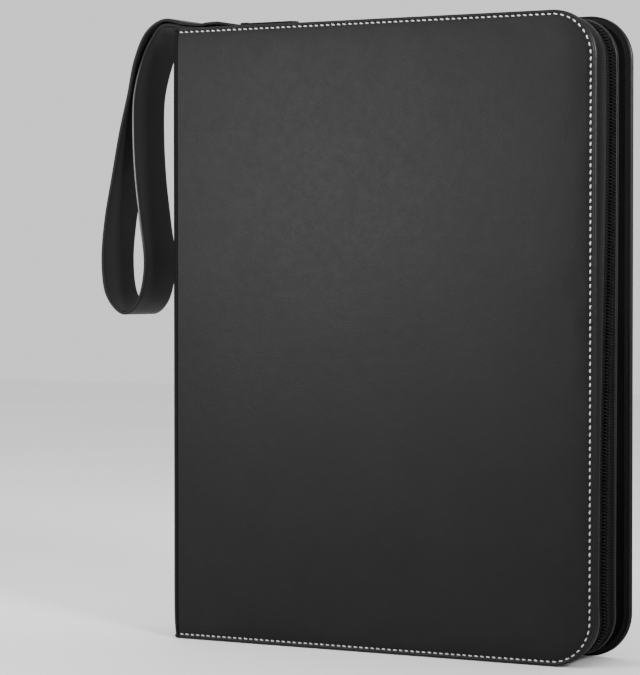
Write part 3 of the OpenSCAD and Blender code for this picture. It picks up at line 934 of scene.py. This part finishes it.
def zip_end_cloth(end):
    """The tape's end, sewn flat across the spine; the top one runs on to the slider as two strips."""
    lo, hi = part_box(f"zip_end_{end}")
    stub_to = hi[0] if end == "top" else None
    verts, uvs, faces = [], [], []
    step = 1.0 * MM
    half = hi[1]
    tab_to = SPINE_X + 24.9 * MM
    slit = 0.8 * MM

    def strip(x0, x1, y0, y1):
        base = len(verts)
        nx = max(int((x1 - x0) / step), 1)
        ny = max(int((y1 - y0) / step), 1)
        for layer in (0, 1):
            for i in range(nx + 1):
                for j in range(ny + 1):
                    x, y = lerp(x0, x1, i / nx), lerp(y0, y1, j / ny)
                    edge = min(x1 - x, y - y0, y1 - y, 3 * MM)
                    puff = 0.12 * MM * wave_noise(x, y, 0, 0.006, 2.2) * smoothstep(edge / (1.5 * MM))
                    z = lo[2] if layer == 0 else hi[2] - 0.15 * MM * math.exp(-edge / (0.5 * MM)) + puff
                    verts.append((x, y, z))
                    uvs.append((x, y))
        faces.extend(slab_faces(nx + 1, ny + 1, base))

    strip(lo[0], tab_to, -half, half)
    if stub_to:
        strip(tab_to - 0.2 * MM, stub_to, SEAM_Y - STUB_HALF, SEAM_Y - slit)
        strip(tab_to - 0.2 * MM, stub_to, SEAM_Y + slit, SEAM_Y + STUB_HALF)
    obj = new_object(f"zip_end_cloth_{end}", verts, faces, uvs)
    paint(obj, TAPE)
    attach(obj, "spine")
    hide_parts(f"zip_end_{end}")


zip_end_cloth("top")
zip_end_cloth("bottom")

for node in ("zip_slider", "zip_pull"):
    paint(nodes[node], BLACK_METAL)
    soften(nodes[node], 0.4 * MM, 3)


# ---- wrist strap ----

# the middle line of the strap's loop, as (distance from the spine, height) in millimetres: the CAD's line, a
# little flatter where it comes off the spine
STRAP_LINE = [(12, 338.2), (2, 339.5), (-11, 341.8), (-22.5, 335), (-30, 320), (-34.5, 301), (-40, 280),
              (-45, 256), (-50, 231), (-52, 208), (-49, 189), (-38, 179), (-27.5, 187), (-23.4, 207),
              (-26.5, 231), (-29.6, 255), (-31, 280), (-30.3, 301), (-25.3, 319), (-18.8, 331.4), (-11, 338.9),
              (2, 337.4), (12, 336.2)]
STRAP_HALF = 15.5 * MM
STRAP_T = 2.0 * MM


def smooth_line(points, steps):
    """A smooth curve through points, as (x, z) pairs."""
    out = []
    last = len(points) - 1
    for i in range(last):
        a, b, c, d = points[max(i - 1, 0)], points[i], points[i + 1], points[min(i + 2, last)]
        for k in range(steps):
            t = k / steps
            out.append(tuple(0.5 * (2 * q + (r - p) * t + (2 * p - 5 * q + 4 * r - w) * t * t
                                    + (3 * q - p - 3 * r + w) * t ** 3) for p, q, r, w in zip(a, b, c, d)))
    out.append(points[-1])
    return out


def strap_piece():
    """One long band with soft edges; its cut edges carry a painted highlight."""
    line = [(24, 338.9), (18, 338.7)] + STRAP_LINE + [(18, 336.1), (24, 336.3)]
    line = [(SPINE_X + x * MM, z * MM) for x, z in smooth_line(line, 8)]
    half, t = STRAP_HALF, STRAP_T / 2 - 0.06 * MM
    # the section as (y, share of the thickness): one face and its edge, then the same turned round
    section = [(lerp(-half + 1.2 * MM, half - 1.2 * MM, k / 12), 1.0) for k in range(13)]
    section += [(half - 0.5 * MM, 0.93), (half - 0.12 * MM, 0.72), (half, 0.4), (half, -0.4),
                (half - 0.12 * MM, -0.72), (half - 0.5 * MM, -0.93)]
    section += [(-y, -share) for y, share in section]
    verts, uvs = [], []
    run = 0.0
    for i, (x, z) in enumerate(line):
        a, b = line[max(i - 1, 0)], line[min(i + 1, len(line) - 1)]
        dx, dz = b[0] - a[0], b[1] - a[1]
        size = math.hypot(dx, dz)
        nx, nz = dz / size, -dx / size
        if i:
            run += math.dist((x, z), line[i - 1])
        for y, share in section:
            wave = 0.12 * MM * wave_noise(run, y, 0, 0.02, 6.1) if abs(share) == 1.0 else 0.0
            crown = -0.1 * MM * math.exp(-((half - abs(y)) - 2.2 * MM) ** 2 / (0.5 * MM) ** 2)
            d = share * t + (math.copysign(crown, share) * 0.6 + wave * 0.3 if abs(share) == 1.0 else 0.0)
            verts.append((x + nx * d, y, z + nz * d))
            uvs.append((run, y))
    count = len(section)
    faces = grid_faces(len(line), count, wrap_cols=True)
    faces.append(tuple(range(count)))
    faces.append(tuple(range((len(line) - 1) * count, len(line) * count)))
    obj = new_object("wrist_strap_band", verts, faces, uvs)
    paint(obj, STRAP_LEATHER, STRAP_EDGE)
    for poly in obj.data.polygons:
        ys = [abs(obj.data.vertices[v].co.y) for v in poly.vertices]
        if min(ys) > half - 0.05 * MM:
            poly.material_index = 1
    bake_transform(obj)
    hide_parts("wrist_strap")


strap_piece()


def anchor_patch():
    """The flat patch that holds the strap's ends down, with round corners in plan and soft edges."""
    lo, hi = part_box("strap_anchor")
    x0, y0, z0 = lo[0] + 0.3 * MM, lo[1], lo[2]
    x1, y1, thick = hi[0] + 2 * MM, hi[1], 1.0 * MM
    radius = 1.5 * MM
    points = []
    for cx, cy, first in ((x1 - radius, y1 - radius, 0), (x0 + radius, y1 - radius, 90),
                          (x0 + radius, y0 + radius, 180), (x1 - radius, y0 + radius, 270)):
        for k in range(7):
            turn = math.radians(first + 15 * k)
            points.append((cx + radius * math.cos(turn), cy + radius * math.sin(turn)))
    bm = bmesh.new()
    face = bm.faces.new([bm.verts.new((x, y, z0)) for x, y in points])
    raised = bmesh.ops.extrude_face_region(bm, geom=[face])
    bmesh.ops.translate(bm, verts=[v for v in raised["geom"] if isinstance(v, bmesh.types.BMVert)],
                        vec=(0, 0, thick))
    bmesh.ops.recalc_face_normals(bm, faces=bm.faces)
    rims = [e for e in bm.edges if abs(e.verts[0].co.z - e.verts[1].co.z) < 1e-7]
    bmesh.ops.bevel(bm, geom=rims, offset=0.3 * MM, segments=3, affect="EDGES", profile=0.5)
    obj = new_object("strap_anchor_patch", [], [])
    bm.to_mesh(obj.data)
    bm.free()
    shade_smooth(obj)
    paint(obj, STRAP_LEATHER)
    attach(obj, "spine")
    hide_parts("strap_anchor")


anchor_patch()


# ---- ring mechanism: the CAD parts are right, and only need their finish ----

for node in ("ring_base_plate", "ring_housing", "toggle_plate_front", "toggle_plate_back"):
    paint(nodes[node], DARK_STEEL)
for node in ("release_lever_top", "release_lever_bottom"):
    paint(nodes[node], LEVER_PLASTIC)
    soften(nodes[node], 0.5 * MM, 3)
soften(nodes["ring_housing"], 0.2 * MM)
paint(nodes["ring_rivets"], DARK_STEEL)
soften(nodes["ring_rivets"], 0.5 * MM, 3)
for height in ("top", "middle", "bottom"):
    for side in (FRONT, BACK):
        shade_smooth(paint(nodes[f"ring_{height}_{SIDE_NAME[side]}"], NICKEL))
for node in ("front_board", "back_board", "spine_board"):
    paint(nodes[node], BOARD)


# ---- pages ----

HOLE_R = 4 * MM
HOLE_PLAY = 1.2 * MM
BINDING_W = 17 * MM
LEAVES = 8


def page(side, number):
    """A sheet with three by three pockets: the film puffs inside each pocket and is flat along the welds."""
    node = f"{SIDE_NAME[side]}_leaf_{number}"
    lo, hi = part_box(node)
    width, height = hi[0] - lo[0], hi[2] - lo[2]
    mid_y, half_t = (lo[1] + hi[1]) / 2, (hi[1] - lo[1]) / 2
    hole_x = RING_X + math.sqrt(RING_R ** 2 - (side * mid_y - half_t) ** 2) + HOLE_PLAY
    pocket_x0, pocket_x1 = lo[0] + BINDING_W, hi[0] - 1.5 * MM
    nx, nz = 33, 36
    xs = [lo[0], lo[0] + 2 * MM, lo[0] + BINDING_W - 1.5 * MM] + [
        lerp(pocket_x0, pocket_x1, k / nx) for k in range(nx + 1)] + [hi[0]]
    zs = [lo[2]] + [lerp(lo[2] + 2 * MM, hi[2] - 2 * MM, k / nz) for k in range(nz + 1)] + [hi[2]]
    verts, uvs = [], []
    seed = number * 1.7 + (11 if side == BACK else 0)
    for layer in (-1, 1):
        for x in xs:
            for z in zs:
                puff = 0.0
                if pocket_x0 < x < pocket_x1:
                    a = (x - pocket_x0) / (pocket_x1 - pocket_x0) * 3 % 1
                    b = (z - lo[2] - 2 * MM) / (height - 4 * MM) * 3 % 1
                    puff = (math.sin(math.pi * a) * math.sin(math.pi * min(max(b, 0), 1))) ** 0.5
                film = 0.35 + 0.65 * puff
                bend = 0.05 * MM * wave_noise(x, seed, z, 0.06, seed)
                verts.append((x, mid_y + layer * half_t * film * 0.9 + bend, z))
                uvs.append(((x - lo[0]) / width, (z - lo[2]) / height))
    rows, cols = len(xs), len(zs)
    faces = slab_faces(rows, cols)
    # the first two strips of quads in each layer are the white binding
    binding = [i < 2 for i in range(rows - 1) for _ in range(cols - 1)] * 2
    binding += [False] * (len(faces) - len(binding))
    obj = new_object(f"{SIDE_NAME[side]}_page_{number}", verts, faces, uvs)
    paint(obj, FILM[side], BINDING)
    for poly, white in zip(obj.data.polygons, binding):
        poly.material_index = 1 if white else 0
    cut_holes(obj, hole_x, mid_y)
    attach(obj, f"{node}_body")
    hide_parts(node)


def cut_holes(obj, hole_x, mid_y):
    """Punches the three ring holes."""
    parts = []
    for k in (-1, 0, 1):
        centre = Vector((hole_x, mid_y, MID_Z + k * RING_PITCH))
        points = [centre + Vector((0, d * 5 * MM, 0)) for d in (-1, 1)]
        parts.append(tube(points, HOLE_R, 24))
    verts, faces = merge(parts)
    cutter = new_object("hole_cutter", verts, faces, smooth=False)
    cut = obj.modifiers.new("holes", "BOOLEAN")
    cut.operation = "DIFFERENCE"
    cut.object = cutter
    cut.solver = "EXACT"
    graph = bpy.context.evaluated_depsgraph_get()
    mesh = bpy.data.meshes.new_from_object(obj.evaluated_get(graph))
    obj.modifiers.clear()
    old = obj.data
    obj.data = mesh
    bpy.data.meshes.remove(old)
    bpy.data.objects.remove(cutter)


for side in (FRONT, BACK):
    for number in range(1, LEAVES + 1):
        page(side, number)


# ---- floor, light and camera ----

def floor():
    verts = []
    size, steps = 3.0, 12
    for i in range(steps + 1):
        for j in range(steps + 1):
            verts.append((lerp(-size, size, i / steps), lerp(-size, size, j / steps), -0.0004))
    obj = new_object("studio_floor", verts, grid_faces(steps + 1, steps + 1), smooth=False)
    s = Shader("pale_floor")
    tone = s.ramp(s.noise(s.coords(), 3, 2.0), [(0.3, grey(0.88)), (0.7, grey(0.92))])
    paint(obj, s.finish(tone, 0.7))


def area_light(name, place, target, size, power, spread=180):
    light = bpy.data.lights.new(name, "AREA")
    light.shape = "RECTANGLE"
    light.size = size
    light.size_y = size
    light.spread = math.radians(spread)
    light.energy = power
    obj = add_object(name, light)
    obj.location = place
    obj.rotation_euler = (Vector(target) - Vector(place)).to_track_quat("-Z", "Y").to_euler()


def lights():
    world = bpy.data.worlds.new("studio")
    bpy.context.scene.world = world
    world.use_nodes = True
    back = world.node_tree.nodes["Background"]
    back.inputs["Color"].default_value = (1.0, 1.0, 1.0, 1.0)
    back.inputs["Strength"].default_value = 1.0
    middle = (0, 0, MID_Z)
    area_light("key_light", (-0.56, -1.03, 0.78), middle, 0.7, 6.4)
    area_light("glow_light", (-0.35, -0.64, 0.27), (0.0, 0, 0.22), 0.24, 2.6)
    area_light("edge_light", (0.98, -0.60, 0.64), (0.12, 0.0, 0.34), 0.3, 1.7, 38)
    area_light("top_light", (0.1, 0.3, 1.6), middle, 1.2, 9)


def camera():
    """The view from the right of the front cover, a little above the middle and looking slightly down."""
    focal_px, frame_px, sensor = 2866.3, 675, 36.0
    yaw, pitch = math.radians(30.18), math.radians(-1.31)
    distance, aside, above = 1.5397, -0.04064, -0.0011
    case_middle = Vector(((SPINE_X + FORE_X) / 2, 0, MID_Z))
    level = Vector((-math.sin(yaw), math.cos(yaw), 0))
    right = Vector((math.cos(yaw), math.sin(yaw), 0))
    forward = level * math.cos(pitch) + Vector((0, 0, math.sin(pitch)))
    data = bpy.data.cameras.new("camera")
    data.sensor_width = sensor
    data.lens = focal_px * sensor / frame_px
    obj = add_object("camera", data)
    obj.location = case_middle - forward * distance + right * aside + Vector((0, 0, above))
    obj.rotation_euler = forward.to_track_quat("-Z", "Y").to_euler()
    bpy.context.scene.camera = obj


floor()
lights()
camera()
